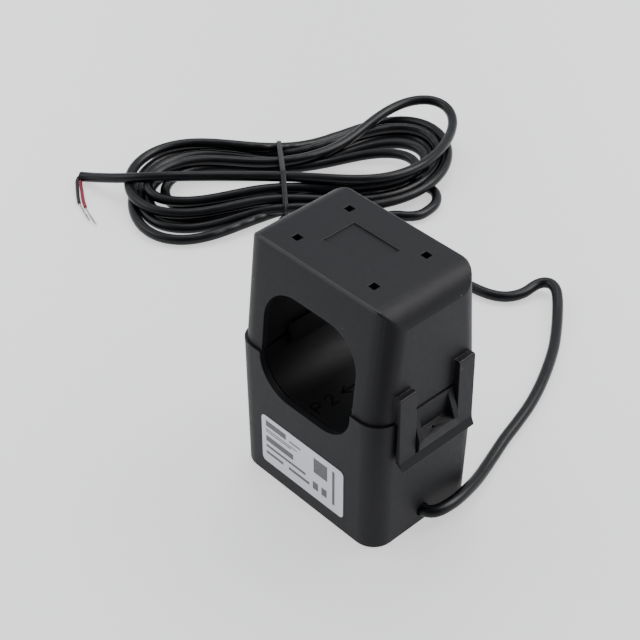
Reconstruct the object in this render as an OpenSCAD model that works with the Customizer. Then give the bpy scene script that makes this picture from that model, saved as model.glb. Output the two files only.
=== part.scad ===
// Split-core current transformer: a deep lower housing, a hinged upper housing
// with a moulded snap latch, and a two-core lead wound into a tied hank.
// Z = 0 is the flat base, the conductor passes along Y, the hinge is on -X
// and the latch and the lead are on +X.

/* [Housing] */
// Width at the rim of the lower housing
body_w = 57.2; // [57:0.1:57.6]
// Depth at the rim of the lower housing
body_d = 42.3; // [42:0.1:43]
// Width at the base
base_w = 56.4; // [56:0.1:57]
// Depth at the base
base_d = 41.2; // [40.8:0.1:42]
// Overall height
body_h = 83; // [82.6:0.1:84]
// Height of the parting between the two housings
part_z = 47; // [46.8:0.1:47.2]
// Width of the upper housing at the parting
lid_w = 56.3; // [56.1:0.1:56.6]
// Depth of the upper housing at the parting
lid_d = 40.8; // [40.4:0.1:41.4]
// Depth of the upper housing at its top
top_d = 33.8; // [33:0.1:35]
// Radius of the four upright corners
corner_r = 6.8; // [6:0.1:7.4]
// Radius of the two top edges along Y
top_r = 7.2; // [6.4:0.1:7.6]
// Wall thickness
wall = 2; // [1.8:0.1:2.2]
// Gap between the two housings when shut
seam = 0.2; // [0.16:0.02:0.3]

/* [Conductor window] */
// Clear width and height of the window
win = 36; // [35.6:0.1:36.2]
// Corner radius of the window
win_r = 11.5; // [9:0.5:14]
// Height of the window's lowest point
win_z = 34.5; // [34:0.1:35]
// Thickness of the liners around the window
liner_t = 1.2; // [1:0.1:1.3]

/* [Core and winding] */
// Strip build-up of the cut core
core_t = 6.3; // [5.8:0.1:6.4]
// Depth of the core along Y
core_d = 16.8; // [14:0.2:17]
// Radial thickness of the secondary winding
wind_t = 5; // [3:0.5:5.5]

/* [Hinge and latch] */
// Distance of the hinge axis from the middle
hinge_x = 31; // [31:0.1:32]
// Radius of the hinge pin
pin_r = 0.9; // [0.8:0.05:1]
// Outer radius of the hinge knuckles
knuckle_r = 2.1; // [2:0.1:2.2]
// Inner side of each latch leg, from the middle
leg_y0 = 8.3; // [7.8:0.1:8.6]
// Outer side of each latch leg, from the middle
leg_y1 = 14.5; // [13:0.1:15]
// Length of the latch below the parting
latch_drop = 13.4; // [13.2:0.1:13.8]

/* [Lead] */
// Outer diameter of the sheathed lead
cable_d = 3.75; // [3.4:0.05:3.9]
// Outer diameter of one insulated core
core_wire_d = 1.3; // [1.1:0.05:1.4]
// Height of the lead's exit above the base
exit_z = 4.6; // [4.4:0.1:5]

/* [Hidden] */
$fn = 64;
e = 0.01;
black = [0.055, 0.055, 0.058];
pbt = [0.075, 0.075, 0.08];
low_top = part_z - seam / 2;
lid_bot = part_z + seam / 2;
win_cz = win_z + win / 2;
side_x = body_w / 2;
in_x = win / 2 + 0.2;                 // inner face of the liners, beside the window
leg_x0 = in_x + liner_t + 0.3;        // inner face of the core legs
leg_x1 = leg_x0 + core_t;             // outer face of the core legs
yoke_z = 17;                          // middle of the lower yoke
core_z0 = yoke_z - core_t / 2;
core_z1 = win_z + win + 0.2 + liner_t + 0.4 + core_t;
hook_x = 14.5;
hook_y = 9.75;
exit_y = -0.9;
cr = cable_d / 2;

// rounded rectangle as points, n steps a corner
function rr(w, h, r, n = 8) = [for (c = [[1, 1, 0], [-1, 1, 90], [-1, -1, 180], [1, -1, 270]], i = [0:n])
    [c.x * (w / 2 - r) + r * cos(c.z + 90 * i / n), c.y * (h / 2 - r) + r * sin(c.z + 90 * i / n)]];
// block with a flat foot and two rounded upper corners
function arch(w, h, r, n = 10) = concat([[-w / 2, 0], [w / 2, 0]],
    [for (i = [0:n]) [w / 2 - r + r * cos(90 * i / n), h - r + r * sin(90 * i / n)]],
    [for (i = [0:n]) [-w / 2 + r + r * cos(90 + 90 * i / n), h - r + r * sin(90 + 90 * i / n)]]);

module slice(w, d, r, z) translate([0, 0, z]) linear_extrude(e) polygon(rr(w, d, r));
// drafted block with round upright corners
module drafted(w0, d0, w1, d1, r, z0, z1) hull() { slice(w0, d0, r, z0); slice(w1, d1, r, z1 - e); }
// XZ outline carried along Y
module along_y(len, pts) rotate([90, 0, 0]) translate([0, 0, -len / 2]) linear_extrude(len) polygon(pts);
// XZ outline, from y0 to y1
module prism_y(y0, y1, pts) translate([0, (y0 + y1) / 2, 0]) along_y(y1 - y0, pts);
module window(grow, len) translate([0, 0, win_cz]) along_y(len, rr(win + 2 * grow, win + 2 * grow, win_r + grow, 14));
module box(x0, x1, y0, y1, z0, z1) translate([x0, y0, z0]) cube([x1 - x0, y1 - y0, z1 - z0]);
module both_y(y0, y1, pts) { prism_y(y0, y1, pts); prism_y(-y1, -y0, pts); }

// ---------- lower half ----------
module lower_shell() color(black) difference() {
    union() {
        difference() {
            drafted(base_w, base_d, body_w, body_d, corner_r, 0, low_top);
            drafted(base_w - 2 * wall, base_d - 2 * wall, body_w - 2 * wall, body_d - 2 * wall, corner_r - wall, wall, low_top + 1);
            window(0, body_d + 4);
        }
        // two pairs of ribs that carry the lower core
        for (sx = [-1, 1], sy = [-1, 1])
            box(sx * 23 - 1, sx * 23 + 1, sy * 6.5 - 1.7, sy * 6.5 + 1.7, wall - 0.2, core_z0 + 0.85);
        // catch: two ramps and a shelf between their feet
        both_y(6, 7.9, [[side_x - 0.8, part_z - 0.9], [side_x - 0.05, part_z - 0.9], [side_x + 3.2, part_z - 8.8], [side_x + 3.2, part_z - 12.1], [side_x - 0.8, part_z - 12.9]]);
        prism_y(-6.05, 6.05, [[side_x - 0.8, part_z - 8.1], [side_x + 3.2, part_z - 9], [side_x + 3.2, part_z - 12.1], [side_x - 0.8, part_z - 12.9]]);
        // outer knuckles of the hinge, with their webs
        for (s = [-1, 1]) {
            translate([-hinge_x, s * 6.9, part_z]) rotate([90, 0, 0]) cylinder(r = knuckle_r, h = 5.2, center = true);
            prism_y(s * 6.9 - 2.6, s * 6.9 + 2.6, [[-hinge_x, part_z - knuckle_r], [-side_x + 0.9, part_z - 6.4], [-side_x + 0.9, low_top - 0.1], [-hinge_x, low_top - 0.1]]);
        }
    }
    translate([-hinge_x, 0, part_z]) rotate([90, 0, 0]) cylinder(r = pin_r + 0.03, h = 21, center = true);
    // lead exit
    translate([side_x - 6, exit_y, exit_z]) rotate([0, 90, 0]) cylinder(r = cr + 0.25, h = 8);
    // core-pin mark in the shelf of the catch
    translate([side_x + 1.4, -0.7, part_z - 9.3]) cylinder(r = 0.35, h = 2, $fn = 24);
}

module lower_liner() color(pbt) difference() {
    union() {
        intersection() {
            window(0.2 + liner_t, body_d - 2 * wall - 1.0);
            box(-40, 40, -40, 40, 0, low_top - 0.1);
        }
        for (s = [-1, 1]) box(s > 0 ? in_x + 0.2 : -26.3, s > 0 ? 26.3 : -in_x - 0.2, -14, 14, low_top - 1.6, low_top - 0.1);
    }
    window(0.2, body_d);
    for (s = [-1, 1]) box(s > 0 ? leg_x0 - 0.15 : -leg_x1 - 0.15, s > 0 ? leg_x1 + 0.15 : -leg_x0 + 0.15, -core_d / 2 - 0.15, core_d / 2 + 0.15, low_top - 3, low_top + 1);
}

module core_ring() translate([0, 0, (core_z0 + core_z1) / 2]) difference() {
    along_y(core_d, rr(2 * leg_x1, core_z1 - core_z0, 8, 10));
    along_y(core_d + 2, rr(2 * leg_x0, core_z1 - core_z0 - 2 * core_t, 1.7, 4));
}
module lower_core() color([0.42, 0.42, 0.44]) intersection() {
    core_ring();
    box(-40, 40, -20, 20, 0, low_top - 0.05);
}
module upper_core() color([0.42, 0.42, 0.44]) intersection() {
    core_ring();
    box(-40, 40, -20, 20, lid_bot + 0.05, 100);
}

bob_y = core_d / 2 + 0.3;             // bore of the bobbin, half sizes
bob_z = core_t / 2 + 0.3;
// rectangular tube around the lower yoke
module yoke_tube(x0, x1, g0, g1) translate([(x0 + x1) / 2, 0, yoke_z]) rotate([90, 0, 90]) translate([0, 0, -(x1 - x0) / 2]) linear_extrude(x1 - x0) difference() {
    polygon(rr(2 * (bob_y + g1), 2 * (bob_z + g1), g1 > 2 ? 2.4 : 0.6, 6));
    polygon(rr(2 * (bob_y + g0), 2 * (bob_z + g0), g0 > 2 ? 2.2 : 0.3, 6));
}
bob_x = leg_x0 - 1.8;                 // half length of the bobbin
module bobbin() color([0.85, 0.84, 0.78]) union() {
    yoke_tube(-bob_x, bob_x, 0, 1);
    yoke_tube(-bob_x, -bob_x + 1.2, 0.5, wind_t + 1.8);
    yoke_tube(bob_x - 1.2, bob_x, 0.5, wind_t + 1.8);
}
module secondary_winding() color([0.72, 0.36, 0.16]) yoke_tube(-bob_x + 1.3, bob_x - 1.3, 1.05, wind_t + 1.05);
module winding_tape() color([0.9, 0.78, 0.2]) yoke_tube(-bob_x + 1.4, bob_x - 1.4, wind_t + 1.1, wind_t + 1.35);

wire_z = exit_z;
tape_z = yoke_z - bob_z - wind_t - 1.35;
module winding_leads() color([0.72, 0.36, 0.16]) for (s = [-1, 1]) {
    translate([-6, exit_y + s * 0.75 + s * 0.3, wire_z]) rotate([0, 90, 0]) cylinder(r = 0.25, h = 10, $fn = 24);
    translate([-6, exit_y + s * 0.75 + s * 0.3, wire_z]) cylinder(r = 0.25, h = tape_z - wire_z - 0.05, $fn = 24);
}
module joint_sleeves() color([0.08, 0.08, 0.08]) for (s = [-1, 1])
    translate([0, exit_y + s * 1.05, wire_z]) rotate([0, 90, 0]) difference() {
        cylinder(r = 0.95, h = 12, $fn = 32);
        translate([0, 0, -1]) cylinder(r = core_wire_d / 2 + 0.05, h = 14, $fn = 32);
    }
module inner_wire(s) translate([5, exit_y + s * 1.05, wire_z]) rotate([0, 90, 0]) cylinder(d = core_wire_d, h = 14.9, $fn = 32);
module inner_black_wire() color([0.05, 0.05, 0.05]) inner_wire(-1);
module inner_red_wire() color([0.6, 0.08, 0.1]) inner_wire(1);
module strain_relief() color([0.2, 0.2, 0.2]) difference() {
    box(side_x - 5.2, side_x - 2.55, exit_y - 3.8, exit_y + 3.8, wall + 0.05, exit_z + 3.6);
    translate([side_x - 8, exit_y, exit_z]) rotate([0, 90, 0]) cylinder(r = cr + 0.08, h = 10);
}

// ---------- upper half ----------
lid_h = body_h - lid_bot;
lid_taper = (lid_d - top_d) / 2 / lid_h;
module upper_shell() color(black) difference() {
    union() {
        difference() {
            intersection() {
                drafted(lid_w, lid_d, lid_w - 0.2, top_d, corner_r, lid_bot, body_h);
                translate([0, 0, lid_bot]) along_y(60, arch(lid_w + 0.001, lid_h, top_r));
            }
            intersection() {
                drafted(lid_w - 2 * wall, lid_d - 2 * wall + 2 * lid_taper, lid_w - 2 * wall - 0.2, top_d - 2 * wall + 2 * lid_taper * wall, corner_r - wall, lid_bot - 1, body_h - wall);
                translate([0, 0, lid_bot - 1]) along_y(60, arch(lid_w - 2 * wall + 0.001, lid_h + 1 - wall, top_r - wall));
            }
            window(0, body_d + 4);
            // snap-hook openings and the shallow field in the top
            for (sx = [-1, 1], sy = [-1, 1]) box(sx * hook_x - 1.2, sx * hook_x + 1.2, sy * hook_y - 1.2, sy * hook_y + 1.2, body_h - 5, body_h + 1);
            box(-8.9, 8.3, -5.6, 6, body_h - 0.5, body_h + 1);
        }
        // latch: two legs and a flared bar, one moulding with the housing
        both_y(leg_y0, leg_y1, [[lid_w / 2 - 1, lid_bot], [side_x + 0.75, lid_bot], [side_x + 0.8, part_z - latch_drop], [side_x + 2.3, part_z - latch_drop + 0.1], [side_x + 1.65, part_z + 8.6], [side_x + 1.3, part_z + 9], [lid_w / 2 - 1, part_z + 9]]);
        prism_y(-leg_y1 + 0.2, leg_y1 - 0.2, [[side_x + 0.6, part_z - latch_drop - 0.2], [side_x + 0.6, part_z - latch_drop - 0.7], [side_x + 3.3, part_z - latch_drop - 2.8], [side_x + 3.55, part_z - latch_drop - 2.55], [side_x + 2.3, part_z - latch_drop + 0.15], [side_x + 0.8, part_z - latch_drop + 0.05]]);
        // inner knuckle of the hinge, with its web
        translate([-hinge_x, 0, part_z]) rotate([90, 0, 0]) cylinder(r = knuckle_r, h = 8, center = true);
        prism_y(-4, 4, [[-hinge_x, lid_bot + 0.1], [-lid_w / 2 + 0.9, lid_bot + 0.1], [-lid_w / 2 + 0.9, part_z + 6.4], [-hinge_x, part_z + knuckle_r]]);
    }
    translate([-hinge_x, 0, part_z]) rotate([90, 0, 0]) cylinder(r = pin_r + 0.07, h = 12, center = true);
}

module upper_liner_base() difference() {
    union() {
        intersection() {
            window(0.2 + liner_t, 60);
            box(-40, 40, -40, 40, lid_bot + 0.1, 100);
            rotate([90, 0, 90]) translate([0, 0, -30]) linear_extrude(60) polygon([[-(lid_d / 2 - wall - 0.2), lid_bot], [lid_d / 2 - wall - 0.2, lid_bot], [top_d / 2 - wall - 0.2, body_h], [-(top_d / 2 - wall - 0.2), body_h]]);
        }
        for (s = [-1, 1]) box(s > 0 ? in_x + 0.2 : -25.9, s > 0 ? 25.9 : -in_x - 0.2, -14, 14, lid_bot + 0.1, lid_bot + 1.6);
        // hooks that reach up into the openings of the housing
        for (sx = [-1, 1], sy = [-1, 1]) box(sx * hook_x - 1, sx * hook_x + 1, sy > 0 ? core_d / 2 + 0.25 : -hook_y - 1, sy > 0 ? hook_y + 1 : -core_d / 2 - 0.25, win_z + win - 2.5, body_h - 1.8);
    }
    window(0.2, body_d);
    for (s = [-1, 1]) box(s > 0 ? leg_x0 - 0.15 : -leg_x1 - 0.15, s > 0 ? leg_x1 + 0.15 : -leg_x0 + 0.15, -core_d / 2 - 0.15, core_d / 2 + 0.15, lid_bot - 1, lid_bot + 3);
}
// locating tongue of the upper liner, inside the window on the hinge side
module tongue() box(-in_x + 0.3, -in_x + 1.3, -9.6, 9.6, part_z - 3.2, part_z + 4.6);
module upper_liner() color(pbt) union() {
    upper_liner_base();
    tongue();
    box(-in_x - 0.3, -in_x + 0.4, -9.6, 9.6, lid_bot + 0.3, part_z + 4.6);
}
// arched leaf between the upper core and the roof
module core_spring() color([0.75, 0.75, 0.77]) {
    gap = body_h - wall - core_z1 - 0.1;
    sag = gap - 0.4;
    rad = (13 * 13 + sag * sag) / (2 * sag);
    translate([0, 0, body_h - wall - 0.05 - 0.4 - rad]) intersection() {
        rotate([90, 0, 0]) difference() {
            cylinder(r = rad + 0.4, h = 9, center = true, $fn = 200);
            cylinder(r = rad, h = 10, center = true, $fn = 200);
        }
        box(-13, 13, -6, 6, 0, rad + 1);
    }
}
module hinge_pin() color([0.7, 0.7, 0.72]) translate([-hinge_x, 0, part_z]) rotate([90, 0, 0]) cylinder(r = pin_r, h = 18.8, center = true);

// ---------- label ----------
front_tilt = atan((body_d - base_d) / 2 / part_z);
module label() color([0.8, 0.81, 0.82]) translate([-1, -base_d / 2, 0]) rotate([front_tilt, 0, 0]) translate([0, -0.02, 14.6])
    rotate([90, 0, 0]) linear_extrude(0.13) polygon(rr(34, 18.4, 1.5, 6));

// ---------- lead, hank and free end ----------
function unit(v) = v / norm(v);
function ring(c, t, r, n) = let (s = unit(cross(t, [0, 0, 1])), u = cross(s, t)) [for (i = [0:n - 1]) c + r * cos(360 * i / n) * s + r * sin(360 * i / n) * u];
function tangent(p, i) = unit(p[min(i + 1, len(p) - 1)] - p[max(i - 1, 0)]);
// round tube along the points p
module tube(p, r, n = 8) {
    k = len(p);
    polyhedron(
        points = [for (i = [0:k - 1]) each ring(p[i], tangent(p, i), r, n)],
        faces = concat(
            [[for (j = [0:n - 1]) j]],
            [for (i = [0:k - 2], j = [0:n - 1]) let (a = i * n + j, b = i * n + (j + 1) % n) each [[a, a + n, b + n], [a, b + n, b]]],
            [[for (j = [n - 1:-1:0]) (k - 1) * n + j]]));
}
lead_path = [[19.95, -0.9, 4.6], [24, -0.9, 4.6], [27.4, -0.9, 4.6], [30, -0.4, 4.7], [31.9, 1.6, 5], [32.7, 5, 5.2], [32.6, 9.5, 4.9], [31.6, 15, 4.1],
    [30, 21, 3], [28, 27, 2.2], [26, 33, 1.9], [23.5, 41, 1.9], [21.3, 49.5, 1.9], [18.8, 58, 1.9], [15.3, 67, 1.9], [11, 76, 1.9], [6, 85, 1.9], [0.5, 93, 1.9],
    [-4.5, 99.5, 2.2], [-8.5, 104.2, 3], [-11.6, 107, 3.6], [-14.8, 108.2, 3.8], [-17.6, 107, 3.4], [-18.8, 104, 2.8], [-19.2, 100, 2.2], [-20.6, 96, 1.9], [-23.2, 92.6, 1.9],
    [-27.5, 90.3, 1.9], [-34, 89, 1.9], [-42, 88.2, 1.9], [-50, 87.8, 1.9], [-58, 87.6, 1.9], [-66, 87.4, 1.9], [-73, 87.6, 1.9],
    [-79, 89, 1.9], [-82.6, 92.6, 1.9], [-82.8, 96.8, 1.9], [-80.6, 100.6, 1.9], [-78.8, 104, 1.9], [-79, 108, 1.9]];
module cable_lead() color([0.05, 0.05, 0.055]) tube(lead_path, cr);

hank_h = 9.2;
tie_a = -39;                          // direction of the tied waist
tie_w = 23;                           // half width of the waist
// outline of the hank: two lobes that meet at the tied waist
hank_pts = [[-148, 31], [-157, 34], [-163, 39], [-168, 48], [-172, 60], [-174, 70], [-173, 80], [-167, 88], [-159, 94], [-150, 99], [-144, 106], [-140, 116], [-138, 130], [-138, 146], [-139, 160],
    [-138, 168], [-133, 172], [-124, 171], [-113, 167], [-106, 162], [-97, 154], [-88, 147], [-80, 138], [-75, 126], [-75, 112], [-78, 103],
    [-86, 99], [-94, 92], [-100, 84], [-105, 72], [-108, 56], [-112, 38], [-117, 29], [-126, 26], [-138, 27]];
module at_waist() translate([-127, 85.8, 0]) rotate([0, 0, tie_a]) children();
module cable_hank() color([0.05, 0.05, 0.055]) difference() {
    translate([0, 0, 0.05]) linear_extrude(hank_h) polygon(hank_pts);
    // groove for the tie around the waist
    at_waist() difference() {
        box(-60, 60, -1.3, 1.3, -1, 20);
        box(-tie_w, tie_w, -3, 3, 1.2, hank_h - 1.2);
    }
}
module cable_tie() color([0.04, 0.04, 0.04]) at_waist() difference() {
    box(-tie_w - 1, tie_w + 1, -1, 1, 0.1, hank_h - 0.1);
    box(-tie_w - 0.2, tie_w + 0.2, -2, 2, 1, hank_h - 1);
}
tail_path = [[-156.9, 39, 6.8], [-160.7, 36.6, 6.8], [-164.6, 34.8, 6.2], [-168.5, 34, 5], [-172, 33.6, 3.8], [-175, 33.2, 2.8], [-177.6, 32.3, 2.2], [-179.4, 31.4, 1.9]];
module cable_tail() color([0.05, 0.05, 0.055]) tube(tail_path, cr);

wr = core_wire_d / 2;
black_path = [[-178.8, 30.8, 1.4], [-178.6, 29.6, 1.2], [-177.6, 28.2, 0.9], [-175.6, 26.6, 0.72], [-173, 25, 0.7], [-170, 23.2, 0.7], [-166.9, 21.3, 0.7]];
red_path = [[-178.2, 31.4, 1.5], [-176.6, 30, 1.2], [-174.4, 28.2, 0.9], [-172, 26.4, 0.75], [-169, 24.6, 0.7], [-166, 22.9, 0.7], [-163.6, 21.4, 0.7]];
module black_wire() color([0.05, 0.05, 0.05]) tube(black_path, wr);
module red_wire() color([0.6, 0.08, 0.12]) tube(red_path, wr);
module black_strands() color([0.8, 0.8, 0.82]) tube([[-166.9, 21.3, 0.7], [-163.5, 19.7, 0.6], [-159.6, 18, 0.6], [-155.4, 16.7, 0.6]], 0.42);
module red_strands() color([0.8, 0.8, 0.82]) tube([[-163.6, 21.4, 0.7], [-160.6, 20.2, 0.6], [-157.3, 19, 0.6], [-153.8, 17.8, 0.6]], 0.42);

lower_shell();
lower_liner();
lower_core();
bobbin();
secondary_winding();
winding_tape();
winding_leads();
joint_sleeves();
inner_black_wire();
inner_red_wire();
strain_relief();
upper_shell();
upper_liner();
upper_core();
core_spring();
hinge_pin();
label();
cable_lead();
cable_hank();
cable_tail();
cable_tie();
black_wire();
red_wire();
black_strands();
red_strands();
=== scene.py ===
import bpy
import bmesh
import math
import numpy as np
from mathutils import Matrix, Vector


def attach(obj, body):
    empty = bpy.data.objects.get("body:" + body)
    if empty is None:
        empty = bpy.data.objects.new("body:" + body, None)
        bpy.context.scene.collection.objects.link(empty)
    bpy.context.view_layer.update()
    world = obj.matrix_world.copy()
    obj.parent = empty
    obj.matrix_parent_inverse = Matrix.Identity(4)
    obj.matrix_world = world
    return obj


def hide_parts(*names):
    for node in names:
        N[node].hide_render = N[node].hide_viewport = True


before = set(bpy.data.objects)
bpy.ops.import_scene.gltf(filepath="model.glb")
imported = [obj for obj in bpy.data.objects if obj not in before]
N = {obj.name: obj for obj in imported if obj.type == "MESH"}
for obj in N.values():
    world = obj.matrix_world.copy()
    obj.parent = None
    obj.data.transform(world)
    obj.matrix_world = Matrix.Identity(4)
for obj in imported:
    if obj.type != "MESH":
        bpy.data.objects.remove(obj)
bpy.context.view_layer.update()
MM = 0.001
SC = bpy.context.scene

# ------------------------------------------------------------------ camera
cam_data = bpy.data.cameras.new("camera")
cam_data.sensor_width = 36.0
cam_data.lens = 85.66
cam_data.clip_start = 0.01
cam_data.clip_end = 20.0
cam = bpy.data.objects.new("camera", cam_data)
SC.collection.objects.link(cam)
cam.matrix_world = Matrix((
    (0.687427, -0.464277, 0.558471, 0.227389),
    (0.726233, 0.433639, -0.533427, -0.232227),
    (0.005483, 0.772272, 0.635268, 0.324599),
    (0.0, 0.0, 0.0, 1.0)))
SC.camera = cam


# ------------------------------------------------------------------ small helpers
def link(name, data, body=None):
    o = bpy.data.objects.new(name, data)
    SC.collection.objects.link(o)
    if body:
        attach(o, body)
    return o


def node_mat(name):
    m = bpy.data.materials.new(name)
    m.use_nodes = True
    nt = m.node_tree
    b = nt.nodes["Principled BSDF"]
    return m, nt, b


def new(nt, kind, **kw):
    n = nt.nodes.new(kind)
    for k, v in kw.items():
        if k in n.inputs:
            n.inputs[k].default_value = v
        else:
            setattr(n, k, v)
    return n


def coords(nt):
    return new(nt, "ShaderNodeTexCoord").outputs["Object"]


def ramp(nt, stops, interp="LINEAR"):
    r = new(nt, "ShaderNodeValToRGB")
    r.color_ramp.interpolation = interp
    el = r.color_ramp.elements
    while len(el) < len(stops):
        el.new(0.5)
    for e, (p, c) in zip(el, stops):
        e.position = p
        e.color = c if len(c) == 4 else (*c, 1.0)
    return r


# ------------------------------------------------------------------ the cord
D = 3.75
R = D / 2

# lead from inside the housing to the hank, in millimetres
LEAD = [(19.95, -0.9, 4.6), (24, -0.9, 4.6), (27.4, -0.9, 4.6), (30, -0.4, 4.7), (31.9, 1.6, 5), (32.7, 5, 5.2), (32.6, 9.5, 4.9), (31.6, 15, 4.1),
        (30, 21, 3), (28, 27, 2.2), (26, 33, 1.9), (23.5, 41, 1.9), (21.3, 49.5, 1.9), (18.8, 58, 1.9), (15.3, 67, 1.9), (11, 76, 1.9), (6, 85, 1.9), (0.5, 93, 1.9),
        (-4.5, 99.5, 2.2), (-8.5, 104.2, 3), (-11.6, 107, 3.6), (-14.8, 108.2, 3.8), (-17.6, 107, 3.4), (-18.8, 104, 2.8), (-19.2, 100, 2.2), (-20.6, 96, 1.9), (-23.2, 92.6, 1.9),
        (-27.5, 90.3, 1.9), (-34, 89, 1.9), (-42, 88.2, 1.9), (-50, 87.8, 1.9), (-58, 87.6, 1.9), (-66, 87.4, 1.9), (-73, 87.6, 1.9), (-79, 89, 1.9), (-82.6, 92.6, 1.9), (-82.8, 96.8, 1.9), (-80.6, 100.4, 1.9), (-77.7, 102.8, 1.9)]
# turns of the hank, in order along the cord, in millimetres in plan
TURNS = [
    ("in", [(-75.4, 106.3), (-75.1, 110.7), (-76.1, 115.6), (-78.7, 119.4), (-82.4, 121.6), (-87, 121), (-91, 117), (-94.5, 110), (-98, 101.5), (-103, 92), (-107.5, 84)]),
    ("LB", [(-114.5, 64), (-115.3, 57), (-116.2, 48.8), (-117.2, 42.6), (-119, 37.2), (-121.8, 32.8), (-125.2, 29.7), (-130.2, 27.9), (-136.5, 27.6), (-144, 30.1), (-151.6, 35.2), (-157.1, 39.8), (-162, 45.1), (-166, 51.5), (-168.2, 58.5), (-168.3, 65.9), (-166.5, 72.3), (-162.6, 77.7), (-157.3, 82.5), (-151, 86.4), (-144.9, 90.2)]),
    ("RB", [(-131.5, 101.5), (-129.5, 109.9), (-127.8, 118.6), (-125.5, 126.7), (-123.2, 134.4), (-120, 140.5), (-116.3, 144.5), (-111.6, 146.2), (-106.2, 145.6), (-100.4, 142.7), (-95.1, 137.8), (-90.8, 132.1), (-88, 124.9), (-86.9, 117.5), (-87.2, 110.3), (-89.1, 104.1), (-92.5, 97), (-99, 89.7), (-107, 81.9)]),
    ("LA", [(-120.3, 68.3), (-122.1, 60.1), (-125, 52), (-128.3, 45.5), (-132.4, 40.8), (-136.9, 36.5), (-141.6, 34.3), (-147, 34.1), (-153.5, 35.8), (-159.4, 38.8), (-163.8, 42.3), (-167.4, 46.9), (-169.8, 52.9), (-170.9, 59.8), (-170.1, 66.9), (-167.1, 73), (-162.8, 78), (-156.8, 82.7), (-150.4, 87), (-145, 91)]),
    ("RA", [(-136.9, 106.5), (-135, 115.1), (-133.5, 124.2), (-131.4, 132.7), (-129.7, 139.6), (-127, 146.3), (-123.2, 151.1), (-117.1, 153.6), (-111.2, 153.3), (-104.7, 150.7), (-98.6, 146.5), (-93.7, 141.2), (-89.3, 134.3), (-87.2, 127.7), (-86.3, 120.5), (-86.4, 112.4), (-88.1, 105.2), (-92, 97), (-97.8, 89.6), (-105, 81.6)]),
    ("LC", [(-117.5, 66.1), (-118.9, 57.2), (-120.9, 49.5), (-123.4, 43.5), (-126.3, 38.5), (-129.9, 34.7), (-134.8, 32.4), (-140.3, 32.6), (-147.2, 35.4), (-153.8, 39.8), (-159.2, 44.6), (-162.9, 50.2), (-164.9, 56.5), (-165, 63.2), (-163.5, 69.8), (-159.9, 75.4), (-154.5, 80.1), (-148.4, 84.2), (-142.3, 87.6)]),
    ("RC", [(-128, 99.5), (-127, 108.4), (-126.2, 117.6), (-124.6, 126.3), (-122.1, 133.4), (-118.9, 139.5), (-114.8, 143.2), (-110.4, 144.3), (-105.3, 143.3), (-99.9, 139.8), (-95.5, 134.1), (-92.9, 127.8), (-92.2, 121.1), (-92.8, 114.1), (-95, 107.5), (-98.7, 100.4), (-104.6, 92.9), (-111.2, 85.5)]),
    ("LF", [(-120.3, 68.4), (-121.8, 59.7), (-124.2, 51.2), (-127.7, 44.8), (-132, 40.4), (-137.4, 37.3), (-142.9, 36.6), (-148.5, 38.5), (-153.5, 42.4), (-157.1, 47.9), (-158.8, 54.6), (-159.2, 61.4), (-158, 67.7), (-154.9, 72.4), (-150.5, 76.7), (-143.9, 80.8), (-138.5, 85.3)]),
    ("RD", [(-125.2, 95), (-122.2, 103), (-120.3, 111.3), (-118.2, 119.6), (-115.7, 126.9), (-112.3, 132.6), (-108.3, 136.2), (-103.4, 136.8), (-98, 134.7), (-94.3, 130.9), (-92.1, 125), (-91.4, 118.8), (-92.7, 111.8), (-94.5, 105.5), (-98.2, 99.8), (-104.3, 92.5), (-111.5, 86)]),
    ("LE", [(-124.6, 72.9), (-126.2, 65.9), (-127.8, 59), (-130, 52.6), (-133.4, 47.3), (-138, 44.1), (-142.5, 43.8), (-147.5, 45.4), (-151.4, 48.2), (-154.3, 52.1), (-156.3, 56.7), (-156.6, 61.7), (-155.1, 66.5), (-151.4, 71.3), (-147.1, 75.6), (-142.2, 79.2), (-136.7, 84)]),
    ("RE", [(-126.3, 97.5), (-122.9, 104.6), (-120.3, 111.8), (-117.5, 118.9), (-114.5, 125.7), (-110.5, 130.8), (-106.2, 132.8), (-101.1, 132.6), (-97.4, 130.8), (-94.7, 127.2), (-94.3, 122.6), (-95.8, 116.5), (-98.3, 110.8), (-102.6, 104.3), (-109, 96.5), (-115, 89.5)]),
    ("LD", [(-125.4, 73.1), (-127.5, 66), (-129.7, 59), (-132.6, 52.6), (-136.1, 47.3), (-139.4, 43.7), (-144.1, 40.6), (-149.3, 39.6), (-154.1, 41), (-157.2, 44.7), (-158.5, 49.8), (-158.9, 55.4), (-158.7, 61.2), (-156.9, 67), (-153.8, 71.6), (-148.9, 75.4), (-142.5, 79.3), (-136.5, 83.3)]),
    ("BIG", [(-127.5, 96.8), (-124.9, 101.4), (-123.7, 107), (-123.6, 113.1), (-124.4, 120.1), (-126.3, 127.5), (-128.2, 136.5), (-128.8, 144.3), (-129, 154), (-126.1, 162.8), (-120.9, 165.6), (-115.1, 164.6), (-110.1, 161.6), (-106, 157.6), (-102.2, 152.1), (-99.1, 146.6), (-96.2, 139.8), (-94.2, 133.5), (-93.2, 126.8), (-93.6, 119.5), (-94.8, 113.2), (-96.7, 108.3), (-101.2, 102.8), (-106.5, 97.9), (-112.2, 93.5), (-117.6, 88.7)]),
    ("OUT", [(-129.2, 76.7), (-134, 71.3), (-140.3, 64.7), (-146.8, 58.3), (-153, 51.6)]),
]
TAIL = [(-153.3, 41, 9.8), (-156.9, 37.3, 9.6), (-160.7, 35, 8.4), (-164.6, 34.3, 6.9), (-168.5, 33.9, 5.4), (-172, 33.6, 4), (-175, 33.2, 2.9), (-177.6, 32.3, 2.2), (-179.4, 31.4, 1.9)]


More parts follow.
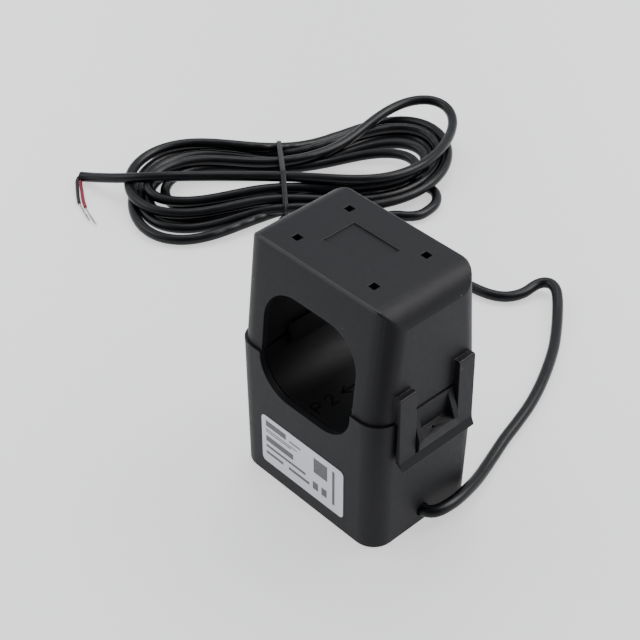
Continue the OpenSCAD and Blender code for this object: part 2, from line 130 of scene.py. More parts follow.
def catmull(P, ds):
    """A smooth curve through P, sampled every ds."""
    P = np.asarray(P, float)
    P = np.vstack([2 * P[0] - P[1], P, 2 * P[-1] - P[-2]])
    out = []
    for i in range(1, len(P) - 2):
        a, b, c, d = P[i - 1:i + 3]
        t = np.linspace(0, 1, 24, endpoint=False)[:, None]
        out.append(0.5 * ((2 * b) + (c - a) * t + (2 * a - 5 * b + 4 * c - d) * t ** 2 + (3 * b - a - 3 * c + d) * t ** 3))
    out.append(P[-2][None])
    q = np.vstack(out)
    return resample(q, ds)


def resample(q, ds):
    s = np.concatenate([[0], np.cumsum(np.linalg.norm(np.diff(q, axis=0), axis=1))])
    n = max(2, int(round(s[-1] / ds)) + 1)
    u = np.linspace(0, s[-1], n)
    return np.stack([np.interp(u, s, q[:, k]) for k in range(3)], 1)


EYE = np.array([227.389, -232.227, 324.599])


def settle(P, free, steps, d, gravity=0.04, pull=0.25, bend=0.35):
    """Lets the cord sink until its turns lie beside and on each other, one diameter apart, each
    point keeping to the line of sight on which its turn is laid out."""
    n = len(P)
    home = P.copy()
    ray = home - EYE
    ray /= np.linalg.norm(ray, axis=1)[:, None]
    i, j = np.triu_indices(n, 4)
    fr = free[:, None]
    for it in range(steps):
        if it % 6 == 0:
            near = np.linalg.norm(P[i] - P[j], axis=1) < d * 2.0
            ci, cj = i[near], j[near]
            far = (cj - ci) * DS > 3.0 * d
            ci, cj = ci[far], cj[far]
        P += ray * (gravity / -ray[:, 2:]) * fr
        rel = P - home
        P += pull * ((rel * ray).sum(1)[:, None] * ray - rel) * fr
        for _ in range(3):
            v = P[ci] - P[cj]
            L = np.linalg.norm(v, axis=1)
            hit = L < d
            a, b, v, L = ci[hit], cj[hit], v[hit], np.maximum(L[hit], 1e-6)
            # mostly along the line of sight, so that the turns keep their places in plan
            r = 0.5 * (ray[a] + ray[b])
            along = (v * r).sum(1)
            side = v - along[:, None] * r
            sl = np.linalg.norm(side, axis=1)
            need = np.sqrt(np.maximum(d * d - sl * sl, 0)) - np.abs(along)
            push = 0.42 * need[:, None] * np.sign(along)[:, None] * r + 0.1 * (d - L)[:, None] * v / L[:, None]
            acc = np.zeros_like(P)
            cnt = np.zeros(n)
            np.add.at(acc, a, push)
            np.add.at(acc, b, -push)
            np.add.at(cnt, a, 1)
            np.add.at(cnt, b, 1)
            P += acc / np.maximum(cnt, 1)[:, None] * fr
            low = P[:, 2] < 1.88
            P[low] += ray[low] * ((1.88 - P[low, 2]) / ray[low, 2])[:, None]
        # stiffness: short waves are smoothed away at three lengths
        for st in (1, 3, 6):
            k = P.copy()
            k[2 * st:-2 * st] = (-P[:-4 * st] + 4 * P[st:-3 * st] + 4 * P[3 * st:-st] - P[4 * st:]) / 6
            P += bend * (k - P) * fr
    P[:, 2] = np.maximum(P[:, 2], 1.88)
    return P


DS = 2.0
LEVEL = {"in": 1.9, "LB": 1.9, "RB": 5.8, "LA": 6.6, "RA": 7.2, "LC": 3.2, "RC": 3.0, "LF": 4.4, "RD": 4.4, "LE": 5.6, "RE": 5.8, "LD": 8.6, "BIG": 11.5, "OUT": 11.8}
MADE_AT = {"in": 1.9, "LB": 1.9, "RB": 4.5, "LF": 1.9, "RE": 1.9, "LD": 4.5, "RD": 4.5, "LE": 1.9, "RC": 1.9, "LA": 4.5, "RA": 1.9, "LC": 1.9, "BIG": 6.0, "OUT": 6.0}
chain = list(LEAD)


def on_ray(x, y, z, to):
    p = np.array([x, y, z], float)
    return tuple(p + (EYE - p) * ((to - z) / (EYE[2] - z)))


for name, pts in TURNS:
    for p in pts:
        chain.append(on_ray(p[0], p[1], MADE_AT[name], LEVEL[name]))
chain += TAIL
start = catmull(chain, DS)
n = len(start)
DS = float(np.linalg.norm(np.diff(start, axis=0), axis=1).mean())
free = np.ones(n)
s_at = np.arange(n) * DS
# the lead stays as laid out until it slips under the hank
under = DS * float(np.argmin(np.linalg.norm(start - np.array([-91.0, 117.0, 1.9]), axis=1)))
free[s_at < under] = 0.0
m = (s_at >= under) & (s_at < under + 24)
free[m] = np.linspace(0, 1, int(m.sum()))
free[s_at > s_at[-1] - 14] = 0.0
m = (s_at > s_at[-1] - 44) & (s_at <= s_at[-1] - 14)
free[m] = np.linspace(1, 0, int(m.sum()))
cord = settle(start.copy(), free, 500, D + 0.08)
# ease the run-out to the free end
for _ in range(60):
    k0 = n - 42
    mid_ = 0.5 * (cord[k0 - 1:n - 5] + cord[k0 + 1:n - 3])
    cord[k0:n - 4] += 0.35 * (mid_ - cord[k0:n - 4])
print("cord: points", n, "length mm", round(float(np.linalg.norm(np.diff(cord, axis=0), axis=1).sum()), 1), "top", round(float(cord[:, 2].max()), 2))
i, j = np.triu_indices(n, 5)
dd = np.linalg.norm(cord[i] - cord[j], axis=1)
m = (j - i) * DS > 3.0 * D
print("cord: closest turns", round(float(dd[m].min()), 2), "pairs under 3.5", int((dd[m] < 3.5).sum()), "under 3.0", int((dd[m] < 3.0).sum()))


def link_curve(name, pts, radius, body="root", res=8, caps=True):
    c = bpy.data.curves.new(name, "CURVE")
    c.dimensions = "3D"
    c.bevel_depth = radius
    c.bevel_resolution = res
    c.use_fill_caps = caps
    s = c.splines.new("POLY")
    s.points.add(len(pts) - 1)
    for q, p in zip(s.points, pts):
        q.co = (float(p[0]), float(p[1]), float(p[2]), 1.0)
    return link(name, c, body)


def as_mesh(o):
    """The curve's tube as a plain mesh, with smooth sides."""
    bpy.context.view_layer.update()
    me = bpy.data.meshes.new_from_object(o.evaluated_get(bpy.context.evaluated_depsgraph_get()))
    name = o.name
    cu = o.data
    bpy.data.objects.remove(o)
    bpy.data.curves.remove(cu)
    me.name = name
    for f in me.polygons:
        f.use_smooth = len(f.vertices) == 4
    return link(name, me, "root")


fine = catmull(cord, 1.0)
lead = as_mesh(link_curve("lead_cord", fine * MM, R * MM, res=9))


# ------------------------------------------------------------------ materials
def bump(nt, b, height, strength, distance):
    bp = new(nt, "ShaderNodeBump", Strength=strength, Distance=distance)
    nt.links.new(height, bp.inputs["Height"])
    nt.links.new(bp.outputs["Normal"], b.inputs["Normal"])
    return bp


def noise(nt, co, scale, detail=3.0, rough=0.5, stretch=None, off=None):
    v = co
    if stretch or off:
        mp = new(nt, "ShaderNodeMapping")
        if stretch:
            mp.inputs["Scale"].default_value = stretch
        if off:
            mp.inputs["Location"].default_value = off
        nt.links.new(co, mp.inputs["Vector"])
        v = mp.outputs["Vector"]
    t = new(nt, "ShaderNodeTexNoise", Scale=scale, Detail=detail, Roughness=rough)
    nt.links.new(v, t.inputs["Vector"])
    return t.outputs["Fac"]


def math_node(nt, op, a, b=0.0, c=None, clamp=False):
    n = nt.nodes.new("ShaderNodeMath")
    n.operation = op
    n.use_clamp = clamp
    for k, v in enumerate((a, b, c)):
        if v is None:
            continue
        if isinstance(v, (int, float)):
            n.inputs[k].default_value = v
        else:
            nt.links.new(v, n.inputs[k])
    return n.outputs[0]


def map_range(nt, v, a, b, c, d):
    m = new(nt, "ShaderNodeMapRange")
    m.inputs["From Min"].default_value = a
    m.inputs["From Max"].default_value = b
    m.inputs["To Min"].default_value = c
    m.inputs["To Max"].default_value = d
    nt.links.new(v, m.inputs["Value"])
    return m.outputs["Result"]


def mix_col(nt, fac, a, b):
    m = nt.nodes.new("ShaderNodeMix")
    m.data_type = "RGBA"
    for k, v in ((0, fac), (6, a), (7, b)):
        if isinstance(v, (tuple, list)):
            m.inputs[k].default_value = (*v, 1.0) if len(v) == 3 else v
        elif isinstance(v, (int, float)):
            m.inputs[k].default_value = v
        else:
            nt.links.new(v, m.inputs[k])
    return m.outputs[2]


def moulded(name, base, light, rough, grain=0.5, spec=0.5, grain_scale=2600.0, worn=None):
    """Spark-eroded moulded plastic: fine grain, slow blotches, a few specks of dust and, with worn, glossier edges."""
    m, nt, b = node_mat(name)
    co = coords(nt)
    slow = noise(nt, co, 60.0, 4.0, 0.6)
    mid = noise(nt, co, 520.0, 3.0, 0.6)
    fine_ = noise(nt, co, grain_scale, 2.0, 0.7)
    v = new(nt, "ShaderNodeTexVoronoi", Scale=430.0)
    nt.links.new(co, v.inputs["Vector"])
    col = mix_col(nt, map_range(nt, slow, 0.35, 0.7, 0.0, 1.0), base, light)
    col = mix_col(nt, map_range(nt, fine_, 0.6, 0.78, 0.0, 0.45), col, tuple(min(1, 2.6 * c) for c in light))
    pick = new(nt, "ShaderNodeSeparateColor")
    nt.links.new(v.outputs["Color"], pick.inputs["Color"])
    spot = math_node(nt, "LESS_THAN", v.outputs["Distance"], 0.10)
    rare = math_node(nt, "GREATER_THAN", pick.outputs["Red"], 0.972)
    dust = math_node(nt, "MULTIPLY", spot, rare)
    col = mix_col(nt, math_node(nt, "MULTIPLY", dust, 0.55), col, (0.16, 0.16, 0.17))
    nt.links.new(col, b.inputs["Base Color"])
    r = map_range(nt, mid, 0.3, 0.7, rough - 0.02, rough + 0.03)
    nt.links.new(r, b.inputs["Roughness"])
    b.inputs["Specular IOR Level"].default_value = spec
    if worn:
        edge = new(nt, "ShaderNodeAttribute")
        edge.attribute_name = "worn"
        nt.links.new(map_range(nt, edge.outputs["Fac"], 0.0, 1.0, spec, worn), b.inputs["Specular IOR Level"])
    h = math_node(nt, "ADD", fine_, math_node(nt, "MULTIPLY", mid, 0.2))
    bump(nt, b, h, grain, 0.00006)
    return m


def pvc(name, base, light, rough, spec=0.5):
    m, nt, b = node_mat(name)
    co = coords(nt)
    slow = noise(nt, co, 90.0, 4.0, 0.6)
    fine_ = noise(nt, co, 1500.0, 3.0, 0.6)
    col = mix_col(nt, map_range(nt, slow, 0.35, 0.7, 0.0, 1.0), base, light)
    nt.links.new(col, b.inputs["Base Color"])
    nt.links.new(map_range(nt, noise(nt, co, 240.0, 4.0, 0.65), 0.3, 0.7, rough - 0.04, rough + 0.07), b.inputs["Roughness"])
    b.inputs["Specular IOR Level"].default_value = spec
    h = math_node(nt, "ADD", fine_, math_node(nt, "MULTIPLY", slow, 1.0))
    bump(nt, b, h, 0.12, 0.00006)
    return m


def metal(name, a, c, rough, scale=900.0, stretch=(1, 1, 12), metallic=1.0, strength=0.3):
    m, nt, b = node_mat(name)
    co = coords(nt)
    f = noise(nt, co, scale, 4.0, 0.65, stretch)
    col = mix_col(nt, map_range(nt, f, 0.3, 0.7, 0.0, 1.0), a, c)
    nt.links.new(col, b.inputs["Base Color"])
    nt.links.new(map_range(nt, f, 0.3, 0.7, rough - 0.08, rough + 0.12), b.inputs["Roughness"])
    b.inputs["Metallic"].default_value = metallic
    bump(nt, b, f, strength, 0.00003)
    return m


def banded(name, a, c, rough, axis, per_m, metallic=0.0, strength=0.8, dist=0.00012):
    """A surface laid up in bands across one axis: stacked sheet, turns of wire or tape."""
    m, nt, b = node_mat(name)
    co = coords(nt)
    w_ = new(nt, "ShaderNodeTexWave", Scale=per_m, Distortion=0.35, Detail=2.0)
    w_.inputs["Detail Scale"].default_value = 0.6
    w_.wave_type = "BANDS"
    w_.bands_direction = axis
    nt.links.new(co, w_.inputs["Vector"])
    n_ = noise(nt, co, 300.0, 4.0, 0.6)
    f = math_node(nt, "MULTIPLY", w_.outputs["Fac"], map_range(nt, n_, 0.3, 0.7, 0.8, 1.1))
    nt.links.new(mix_col(nt, f, a, c), b.inputs["Base Color"])
    nt.links.new(map_range(nt, n_, 0.3, 0.7, rough - 0.06, rough + 0.08), b.inputs["Roughness"])
    b.inputs["Metallic"].default_value = metallic
    bump(nt, b, w_.outputs["Fac"], strength, dist)
    return m


M = {
    "housing": moulded("housing_abs", (0.0066, 0.0064, 0.0082), (0.0078, 0.0077, 0.0096), 0.50, spec=0.17, grain=0.4, worn=0.42),
    "liner": moulded("liner_abs", (0.0046, 0.0046, 0.0052), (0.0062, 0.0062, 0.0070), 0.52, grain=0.3, spec=0.12),
    "core_steel": banded("core_laminations", (0.10, 0.10, 0.105), (0.34, 0.34, 0.35), 0.42, "Y", 900.0, metallic=0.9, strength=0.5),
    "bobbin_plastic": moulded("bobbin_nylon", (0.30, 0.29, 0.25), (0.38, 0.37, 0.33), 0.45, grain=0.3),
    "copper_wire": banded("enamelled_copper", (0.34, 0.10, 0.035), (0.74, 0.30, 0.13), 0.28, "Z", 1300.0, metallic=0.85),
    "tape": banded("polyester_tape", (0.50, 0.34, 0.05), (0.60, 0.43, 0.09), 0.30, "Z", 60.0, strength=0.3),
    "spring_steel": metal("spring_strip", (0.42, 0.42, 0.44), (0.62, 0.62, 0.64), 0.28),
    "pin_steel": metal("pin_bright", (0.50, 0.50, 0.52), (0.70, 0.70, 0.72), 0.22, stretch=(1, 14, 1)),
    "cable_jacket": pvc("jacket_pvc", (0.0016, 0.0020, 0.0030), (0.0030, 0.0036, 0.0050), 0.33, spec=0.22),
    "black_pvc": pvc("core_black_pvc", (0.006, 0.006, 0.007), (0.011, 0.011, 0.013), 0.40, spec=0.35),
    "red_pvc": pvc("core_red_pvc", (0.24, 0.010, 0.030), (0.34, 0.018, 0.045), 0.42, spec=0.35),
    "tinned_copper": metal("tinned_strand", (0.30, 0.30, 0.31), (0.62, 0.61, 0.60), 0.30, scale=2400.0, stretch=None),
}


def label_material():
    m, nt, b = node_mat("label_satin_film")
    co = coords(nt)
    fibre = noise(nt, co, 900.0, 4.0, 0.6, (1, 1, 2))
    slow = noise(nt, co, 70.0, 3.0, 0.5)
    col = mix_col(nt, map_range(nt, slow, 0.3, 0.7, 0.0, 1.0), (0.56, 0.575, 0.62), (0.62, 0.635, 0.68))
    col = mix_col(nt, map_range(nt, fibre, 0.55, 0.8, 0.0, 0.15), col, (0.49, 0.50, 0.54))
    nt.links.new(col, b.inputs["Base Color"])
    nt.links.new(map_range(nt, fibre, 0.3, 0.7, 0.34, 0.46), b.inputs["Roughness"])
    bump(nt, b, math_node(nt, "ADD", fibre, slow), 0.15, 0.00005)
    return m


M["label_film"] = label_material()


# ------------------------------------------------------------------ moulded pieces
def refine(node, width=0.00018, angle=28.0, segments=2, soft=None):
    """The CAD piece with its split faces joined, its sharp edges eased and its flats kept flat."""
    src = N[node]
    bm = bmesh.new()
    bm.from_mesh(src.data)
    worn = bm.faces.layers.float.new("worn")
    bmesh.ops.remove_doubles(bm, verts=bm.verts, dist=2e-6)
    bmesh.ops.dissolve_limit(bm, angle_limit=math.radians(0.4), verts=bm.verts, edges=bm.edges, delimit=set())
    bm.normal_update()
    if soft:
        r = bmesh.ops.bevel(bm, geom=[e for e in bm.edges if soft(e)], offset=0.00068, offset_type="OFFSET", segments=4, profile=0.5, affect="EDGES", clamp_overlap=False)
        for f in r["faces"]:
            f.normal_update()
            f[worn] = 1.0 if abs(f.normal.x) < 0.3 else 0.15
        bm.normal_update()
    if width:
        hard = [e for e in bm.edges if len(e.link_faces) == 2 and e.calc_face_angle(0) > math.radians(angle)]
        r = bmesh.ops.bevel(bm, geom=hard, offset=width, offset_type="OFFSET", segments=segments, profile=0.5, affect="EDGES", clamp_overlap=False)
        for f in r["faces"]:
            f[worn] = max(f[worn], 0.35)
    bmesh.ops.triangulate(bm, faces=[f for f in bm.faces if len(f.verts) > 4])
    bm.normal_update()
    for f in bm.faces:
        f.smooth = True
    for e in bm.edges:
        e.smooth = not (len(e.link_faces) == 2 and e.calc_face_angle(0) > math.radians(38))
    me = bpy.data.meshes.new(node + "_part")
    bm.to_mesh(me)
    bm.free()
    body = "lid" if node in LID else "root"
    o = link(node + "_part", me, body)
    wn = o.modifiers.new("normals", "WEIGHTED_NORMAL")
    wn.keep_sharp = True
    wn.weight = 100
    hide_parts(node)
    slot = src.data.materials[0].name
    me.materials.append(M[slot])
    return o


LID = {"upper_shell", "upper_liner", "upper_core", "core_spring"}


def lid_rim(e):
    """The edges between the lid's front or back face, or its corners, and its top."""
    if len(e.link_faces) != 2 or min(v.co.z for v in e.verts) < 0.0745:
        return False
    a, b = (f.normal for f in e.link_faces)
    if abs(a.y) < abs(b.y):
        a, b = b, a
    return abs(a.y) > 0.5 and abs(b.y) < 0.3 and abs(a.z) < 0.3 and (b.z > 0.2) and abs(sum(v.co.y for v in e.verts) / 2) > 0.014


made = {}
made["lower_shell"] = refine("lower_shell")
made["upper_shell"] = refine("upper_shell", soft=lid_rim)
for k in ("lower_liner", "upper_liner", "strain_relief"):
    made[k] = refine(k, 0.00015)
for k, o in N.items():
    if k in made:
        continue
    name = o.data.materials[0].name
    if name in M:
        o.material_slots[0].material = M[name]

lead.data.materials.append(M["cable_jacket"])


# ------------------------------------------------------------------ cable tie
def sweep(name, centre, out, across, width, thick, closed, body, mat, r=0.35, seg=3):
    """A strap of rounded section along centre; out and across are unit vectors at each point."""
    prof = []
    hw, ht, rr = width / 2, thick / 2, min(thick, width) * r
    for cx, cy, a0 in ((hw - rr, ht - rr, 0), (-hw + rr, ht - rr, 90), (-hw + rr, -ht + rr, 180), (hw - rr, -ht + rr, 270)):
        for k in range(seg + 1):
            a = math.radians(a0 + 90 * k / seg)
            prof.append((cx + rr * math.cos(a), cy + rr * math.sin(a)))
    np_ = len(prof)
    verts, faces = [], []
    for c, o, a in zip(centre, out, across):
        for u, v in prof:
            verts.append(tuple(MM * (c + u * a + v * o)))
    m_ = len(centre)
    rng = range(m_) if closed else range(m_ - 1)
    for i_ in rng:
        k_ = (i_ + 1) % m_
        for q in range(np_):
            q2 = (q + 1) % np_
            faces.append((i_ * np_ + q, i_ * np_ + q2, k_ * np_ + q2, k_ * np_ + q))
    if not closed:
        faces.append(tuple(range(np_))[::-1])
        faces.append(tuple((m_ - 1) * np_ + q for q in range(np_)))
    me = bpy.data.meshes.new(name)
    me.from_pydata(verts, [], faces)
    bm = bmesh.new()
    bm.from_mesh(me)
    bmesh.ops.recalc_face_normals(bm, faces=bm.faces)
    for f in bm.faces:
        f.smooth = len(f.verts) == 4
    bm.to_mesh(me)
    bm.free()
    me.materials.append(mat)
    return link(name, me, body)


TC = np.array([-127.0, 85.8])
TU = np.array([math.cos(math.radians(-39)), math.sin(math.radians(-39))])
TN = np.array([-TU[1], TU[0]])
rel = cord[:, :2] - TC
u_, n_ = rel @ TU, rel @ TN
cross = []
for q in range(len(cord) - 1):
    if n_[q] * n_[q + 1] <= 0 and abs(u_[q]) < 30:
        t = n_[q] / (n_[q] - n_[q + 1])
        cross.append(((1 - t) * u_[q] + t * u_[q + 1], (1 - t) * cord[q, 2] + t * cord[q + 1, 2]))
cross = sorted(cross)
print("tie: crossings", len(cross), [(round(float(a), 1), round(float(b), 1)) for a, b in cross])
ang = np.linspace(0, 2 * math.pi, 48, endpoint=False)
ring = [(a + (R + 0.55) * math.cos(t), max(0.45, b + (R + 0.55) * math.sin(t))) for a, b in cross for t in ang]


def hull(pts):
    pts = sorted(set((round(a, 4), round(b, 4)) for a, b in pts))

    def half(ps):
        h = []
        for p in ps:
            while len(h) > 1 and (h[-1][0] - h[-2][0]) * (p[1] - h[-2][1]) - (h[-1][1] - h[-2][1]) * (p[0] - h[-2][0]) <= 0:
                h.pop()
            h.append(p)
        return h
    a, b = half(pts), half(pts[::-1])
    return np.array(a[:-1] + b[:-1])


H = hull(ring)
Hc = np.vstack([H, H[:1]])
hs = np.concatenate([[0], np.cumsum(np.linalg.norm(np.diff(Hc, axis=0), axis=1))])
nt_ = 140
uu = np.linspace(0, hs[-1], nt_, endpoint=False)
H = np.stack([np.interp(uu, hs, Hc[:, k]) for k in range(2)], 1)
for _ in range(3):
    H = 0.25 * np.roll(H, 1, 0) + 0.5 * H + 0.25 * np.roll(H, -1, 0)
tg = np.roll(H, -1, 0) - np.roll(H, 1, 0)
tg /= np.linalg.norm(tg, axis=1)[:, None]
outn = np.stack([tg[:, 1], -tg[:, 0]], 1)
lean = 0.02


def to3(uv, shift=0.0):
    return np.array([TC[0] + uv[0] * TU[0] + shift * TN[0], TC[1] + uv[0] * TU[1] + shift * TN[1], uv[1]])


def vec3(uv):
    return np.array([uv[0] * TU[0], uv[0] * TU[1], uv[1]])


m_, nt, b = node_mat("tie_nylon")
co = coords(nt)
f_ = noise(nt, co, 1300.0, 3.0, 0.6)
nt.links.new(mix_col(nt, map_range(nt, f_, 0.35, 0.7, 0, 1), (0.004, 0.004, 0.005), (0.012, 0.012, 0.014)), b.inputs["Base Color"])
nt.links.new(map_range(nt, f_, 0.3, 0.7, 0.34, 0.48), b.inputs["Roughness"])
b.inputs["Specular IOR Level"].default_value = 0.22
bump(nt, b, f_, 0.25, 0.00008)
TIE = m_
across3 = np.tile(np.array([TN[0], TN[1], 0.0]), (nt_, 1))
web = sweep("tie_web", [to3(h) for h in H], [vec3(o) for o in outn], across3, 1.9, 0.34, True, "root", TIE)
core = sweep("tie_core", [to3(h) for h in H], [vec3(o) for o in outn], across3, 0.86, 0.86, True, "root", TIE, r=0.5, seg=4)
# the two ends, twisted round each other on the near side
ke = int(np.argmax(H[:, 0]))
root_p = to3(H[ke])
tw = []
for side in (0.0, math.pi):
    pts = []
    for q in range(60):
        t = q / 59
        c = root_p + np.array([-0.3, -7.5, 0.0]) * t + np.array([0.6, 0.0, 0.0]) * math.sin(math.pi * t)
        c[2] = root_p[2] + (1.15 - root_p[2]) * t ** 0.7
        a = side + 2 * math.pi * 2.6 * t
        amp = 0.46 * min(1.0, 0.2 + t / 0.12)
        pts.append(c + np.array([amp * math.cos(a), 0, amp * math.sin(a)]))
    tw.append(as_mesh(link_curve("tie_end%d" % len(tw), np.array(pts) * MM, 0.42 * MM, res=5)))
    tw[-1].data.materials.append(TIE)
bm = bmesh.new()
for o in (web, core, *tw):
    bm.from_mesh(o.data)
    bpy.data.objects.remove(o)
me = bpy.data.meshes.new("tie_strap")
bm.to_mesh(me)
bm.free()
me.materials.append(TIE)
for f in me.polygons:
    f.use_smooth = True
tie = link("tie_strap", me, "root")
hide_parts("cable_tie")

# ------------------------------------------------------------------ free end: cores and strands
BLACK = [(-176.6, 33.2, 2.1), (-178.4, 31.9, 2.1), (-179.4, 30.6, 1.9), (-178.6, 29, 1.3), (-176.3, 27.3, 0.9), (-173.4, 25.3, 0.72), (-170.2, 23.2, 0.72), (-167.1, 21.4, 0.72)]
RED = [(-176.6, 33, 1.5), (-177.9, 31.7, 1.4), (-178, 30.4, 1.2), (-176.4, 29, 0.9), (-173.2, 27.1, 0.75), (-169.7, 24.9, 0.72), (-166.6, 23.1, 0.72), (-163.4, 21.5, 0.72)]


def wire(name, pts, radius, mat, node):
    q = catmull(pts, 0.35)
    o = as_mesh(link_curve(name, q * MM, radius * MM, res=8))
    o.data.materials.append(mat)
    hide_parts(node)
    return o, q


w_black, qb = wire("core_black", BLACK, 0.68, M["black_pvc"], "black_wire")
w_red, qr = wire("core_red", RED, 0.66, M["red_pvc"], "red_wire")


def strands(name, start, d, node, length=13.5, count=7, turns=1.6, seed=3):
    rng = np.random.default_rng(seed)
    d = np.array(d, float)
    d /= np.linalg.norm(d)
    side = np.array([-d[1], d[0], 0.0])
    up = np.array([0, 0, 1.0])
    c = bpy.data.curves.new(name, "CURVE")
    c.dimensions = "3D"
    c.bevel_depth = 0.105 * MM
    c.bevel_resolution = 3
    c.use_fill_caps = True
    for k in range(count):
        ring_r = 0.0 if k == 0 else 0.21
        a0 = 2 * math.pi * k / (count - 1)
        ln = length * (1 - 0.07 * rng.random())
        fan = rng.normal(0, 0.012)
        s = c.splines.new("POLY")
        m2 = 46
        s.points.add(m2 - 1)
        for q in range(m2):
            t = q / (m2 - 1)
            a = a0 + 2 * math.pi * turns * t
            rr = ring_r * (1 + 0.35 * t * t)
            p = np.array(start) + d * (ln * t - 1.2) + side * (rr * math.cos(a) + fan * ln * t ** 3 + 0.6 * t * t) + up * rr * math.sin(a)
            p[2] = max(p[2], 0.08)
            s.points[q].co = (*(p * MM), 1.0)
    o = as_mesh(link(name, c, "root"))
    o.data.materials.append(M["tinned_copper"])
    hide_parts(node)
    return o


st_b = strands("strands_black", BLACK[-1], (11.2, -4.4, 0), "black_strands", seed=4)
st_r = strands("strands_red", RED[-1], (9.7, -3.7, 0), "red_strands", seed=9)

# ------------------------------------------------------------------ label print: plain bars
lv = np.array([v.co[:] for v in N["label"].data.vertices]) / MM
face = lv[lv[:, 1] < lv[:, 1].min() + 0.3]
lo_z, hi_z = face[:, 2].min(), face[:, 2].max()
y_lo, y_hi = face[face[:, 2] < lo_z + 0.2][:, 1].min(), face[face[:, 2] > hi_z - 0.2][:, 1].min()
print("label plane", lo_z, y_lo, hi_z, y_hi)


def y_front(z):
    return y_lo + (y_hi - y_lo) * (z - lo_z) / (hi_z - lo_z) - 0.02


bars = []


def bar(x0, z0, x1, z1):
    bars.append((x0, z0, x1, z1))


bar(-16.2, 20.0, -7.6, 22.2)
bar(-6.2, 20.2, -1.4, 20.8)
bar(-16.2, 18.5, -3.0, 18.9)
bar(-16.2, 17.7, -5.5, 18.1)
bar(-16.2, 14.0, -4.6, 16.2)
bar(-16.2, 11.6, 0.6, 12.6)
bar(-16.2, 8.9, -9.0, 10.0)
bar(-6.6, 8.9, 2.2, 10.0)
bar(4.0, 15.6, 9.6, 21.4)
bar(3.6, 8.8, 5.8, 11.8)
bar(7.2, 8.8, 9.4, 11.8)
bar(11.6, 8.2, 12.6, 21.6)
vs, fs = [], []
for x0, z0, x1, z1 in bars:
    q = len(vs)
    vs += [(x0 * MM, y_front(z0) * MM, z0 * MM), (x1 * MM, y_front(z0) * MM, z0 * MM), (x1 * MM, y_front(z1) * MM, z1 * MM), (x0 * MM, y_front(z1) * MM, z1 * MM)]
    fs.append((q, q + 1, q + 2, q + 3))
me = bpy.data.meshes.new("label_print")
me.from_pydata(vs, [], fs)
lp = link("label_print", me, "root")
m_, nt, b = node_mat("print_ink")
co = coords(nt)
f_ = noise(nt, co, 2200.0, 3.0, 0.6)
nt.links.new(mix_col(nt, map_range(nt, f_, 0.35, 0.7, 0, 1), (0.05, 0.05, 0.055), (0.12, 0.12, 0.13)), b.inputs["Base Color"])
b.inputs["Roughness"].default_value = 0.5
me.materials.append(m_)

# ------------------------------------------------------------------ terminal mark and arrow in the window's floor, drawn as near-black strokes: painted shade standing in for the moulded relief
from mathutils.bvhtree import BVHTree
tree = BVHTree.FromPolygons([v.co for v in made["lower_liner"].data.vertices], [tuple(f.vertices) for f in made["lower_liner"].data.polygons])
hit = tree.ray_cast(Vector((0.0, -0.010, 0.046)), Vector((0, 0, -1)))
z_floor = hit[0].z + 0.000015
GL = {
    "P": [[(0, 0), (0, 1)], [(0, 1), (0.42, 1), (0.58, 0.93), (0.66, 0.76), (0.58, 0.58), (0.42, 0.5), (0, 0.5)]],
    "2": [[(0.02, 0.76), (0.1, 0.92), (0.3, 1), (0.5, 0.94), (0.6, 0.77), (0.54, 0.58), (0.3, 0.32), (0, 0), (0.64, 0)]],
}


def stroke(vs, fs, pts, wd):
    """A flat stroke of even width through plan points, mitred at its bends."""
    P = np.array(pts, float)
    t = np.diff(P, axis=0)
    t /= np.linalg.norm(t, axis=1)[:, None]
    nrm = np.stack([-t[:, 1], t[:, 0]], 1)
    q0 = len(vs)
    for k in range(len(P)):
        a = nrm[max(k - 1, 0)]
        c = nrm[min(k, len(nrm) - 1)]
        m = (a + c) / max(1e-6, 1 + float(a @ c))
        for sgn in (1, -1):
            x, y = P[k] + sgn * wd / 2 * m
            vs.append((x * MM, y * MM, z_floor))
    for k in range(len(P) - 1):
        a = q0 + 2 * k
        fs.append((a, a + 1, a + 3, a + 2))


vs, fs = [], []
H_ = 4.1
for ch, y0 in (("P", -16.8), ("2", -11.9)):
    for st in GL[ch]:
        stroke(vs, fs, [(2.0 - H_ * b_, y0 + H_ * 1.05 * a_) for a_, b_ in st], 0.66)
stroke(vs, fs, [(0, -6.2), (0, 4.6)], 0.62)
stroke(vs, fs, [(-1.6, -3.9), (0, -6.2), (1.6, -3.9)], 0.62)
me = bpy.data.meshes.new("window_mark_painted_shade")
me.from_pydata(vs, [], fs)
wm = link("window_mark_painted_shade", me, "root")
# near-black colour with faint mottling: painted shade of the moulded letters, not ink
m_, nt, b = node_mat("engraved_shadow")
co = coords(nt)
f_ = noise(nt, co, 2600.0, 3.0, 0.6)
nt.links.new(mix_col(nt, map_range(nt, f_, 0.35, 0.7, 0, 1), (0.0012, 0.0012, 0.0014), (0.0028, 0.0028, 0.0032)), b.inputs["Base Color"])
nt.links.new(map_range(nt, f_, 0.3, 0.7, 0.75, 0.9), b.inputs["Roughness"])
b.inputs["Specular IOR Level"].default_value = 0.05
me.materials.append(m_)

# ------------------------------------------------------------------ light and floor
w = bpy.data.worlds.new("studio")
SC.world = w
w.use_nodes = True
nt = w.node_tree
bg = nt.nodes["Background"]
tc = new(nt, "ShaderNodeTexCoord")
dotn = new(nt, "ShaderNodeVectorMath")
dotn.operation = "DOT_PRODUCT"
dotn.inputs[1].default_value = (0.558, -0.533, 0.635)
nt.links.new(tc.outputs["Generated"], dotn.inputs[0])
rp = ramp(nt, [(0.0, (0.96, 1.0, 1.06)), (0.62, (0.86, 0.9, 0.95)), (0.82, (0.35, 0.35, 0.36)), (1.0, (0.12, 0.12, 0.13))])
nt.links.new(dotn.outputs["Value"], rp.inputs["Fac"])
nt.links.new(rp.outputs["Color"], bg.inputs["Color"])
bg.inputs["Strength"].default_value = 1.05

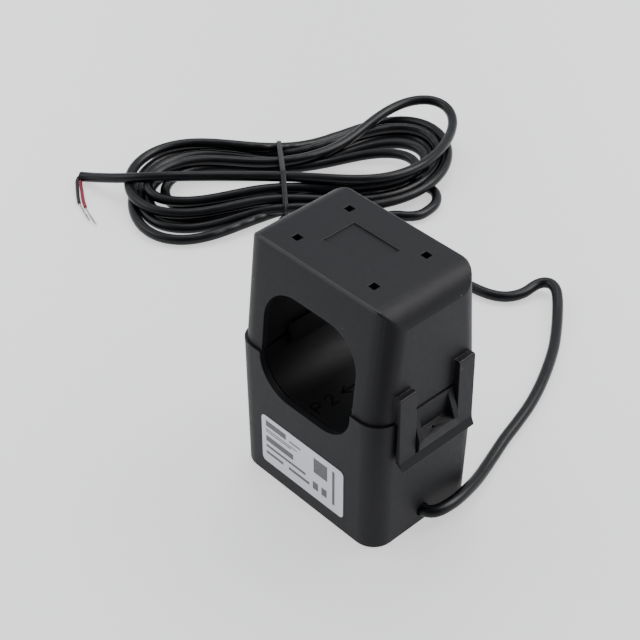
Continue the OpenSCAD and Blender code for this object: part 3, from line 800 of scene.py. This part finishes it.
floor_mesh = bpy.data.meshes.new("floor")
floor_mesh.from_pydata([(-3, -3, -0.0003), (3, -3, -0.0003), (3, 3, -0.0003), (-3, 3, -0.0003)], [], [(0, 1, 2, 3)])
floor = link("floor", floor_mesh)
m, nt, b = node_mat("floor")
co = coords(nt)
dotn = new(nt, "ShaderNodeVectorMath")
dotn.operation = "DOT_PRODUCT"
dotn.inputs[1].default_value = (0.69, 0.723, 0.0)
nt.links.new(co, dotn.inputs[0])
q = math_node(nt, "ABSOLUTE", dotn.outputs["Value"])
lift = map_range(nt, q, 0.02, 0.16, 0.82, 0.98)
b.inputs["Base Color"].default_value = (0.6, 0.6, 0.6, 1)
b.inputs["Roughness"].default_value = 0.9
b.inputs["Emission Color"].default_value = (1, 1, 1, 1)
nt.links.new(lift, b.inputs["Emission Strength"])
floor.data.materials.append(m)


# black card on the camera's side, which keeps the front corner dark; it is out of the camera's sight
card_mesh = bpy.data.meshes.new("card")
fan = [(0.022 + 0.055 * math.cos(math.radians(-38.5 + t)), -0.015 + 0.055 * math.sin(math.radians(-38.5 + t)), 0.0006) for t in (24, 0, -24)]
for t in np.linspace(-24, 24, 7):
    a = math.radians(-38.5 + float(t))
    fan.append((0.022 + 0.34 * math.cos(a), -0.015 + 0.34 * math.sin(a), 0.0006))
card_mesh.from_pydata(fan, [], [tuple(range(len(fan)))])
card = link("card", card_mesh)
card.visible_camera = False
card.visible_shadow = False
card.visible_diffuse = False
m, nt, b = node_mat("card_black")
b.inputs["Base Color"].default_value = (0.05, 0.05, 0.05, 1)
b.inputs["Roughness"].default_value = 1.0
b.inputs["Specular IOR Level"].default_value = 0.0
card.data.materials.append(m)


def area(name, loc, aim, size, power, size_y=None):
    ld = bpy.data.lights.new(name, "AREA")
    ld.shape = "RECTANGLE"
    ld.size = size
    ld.size_y = size_y or size
    ld.energy = power
    o = bpy.data.objects.new(name, ld)
    SC.collection.objects.link(o)
    o.location = loc
    o.rotation_euler = (Vector(aim) - Vector(loc)).to_track_quat("-Z", "Y").to_euler()
    return o


area("soft_rear", (0.25, 0.60, 0.75), (-0.03, 0.03, 0.03), 0.4, 1.6)
area("soft_top", (-0.30, 0.35, 0.85), (-0.06, 0.06, 0.0), 0.35, 2.4)
area("soft_left", (-0.75, -0.35, 0.6), (-0.03, 0.03, 0.03), 0.6, 1.5)


def panel(name, loc, aim, size, strength):
    """Soft box that only shows as a gloss: it lights no surface and casts no shadow."""
    h = size / 2
    me = bpy.data.meshes.new(name)
    me.from_pydata([(-h, -h, 0), (h, -h, 0), (h, h, 0), (-h, h, 0)], [], [(0, 1, 2, 3)])
    o = link(name, me)
    o.location = loc
    o.rotation_euler = (Vector(aim) - Vector(loc)).to_track_quat("-Z", "Y").to_euler()
    o.visible_camera = False
    o.visible_diffuse = False
    o.visible_shadow = False
    m, nt, b = node_mat(name)
    b.inputs["Base Color"].default_value = (0.0, 0.0, 0.0, 1)
    b.inputs["Specular IOR Level"].default_value = 0.0
    b.inputs["Emission Color"].default_value = (1.0, 0.98, 0.97, 1)
    b.inputs["Emission Strength"].default_value = strength
    me.materials.append(m)


# glosses along the lid's rolled edge and along its front top edge
panel("panel_rear", (0.43, 0.63, 0.92), (0.02, 0.0, 0.07), 0.85, 8.0)
panel("panel_left", (-0.62, -0.56, 0.78), (0.0, -0.02, 0.08), 0.60, 3.2)

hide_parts("cable_lead", "cable_hank", "cable_tail")
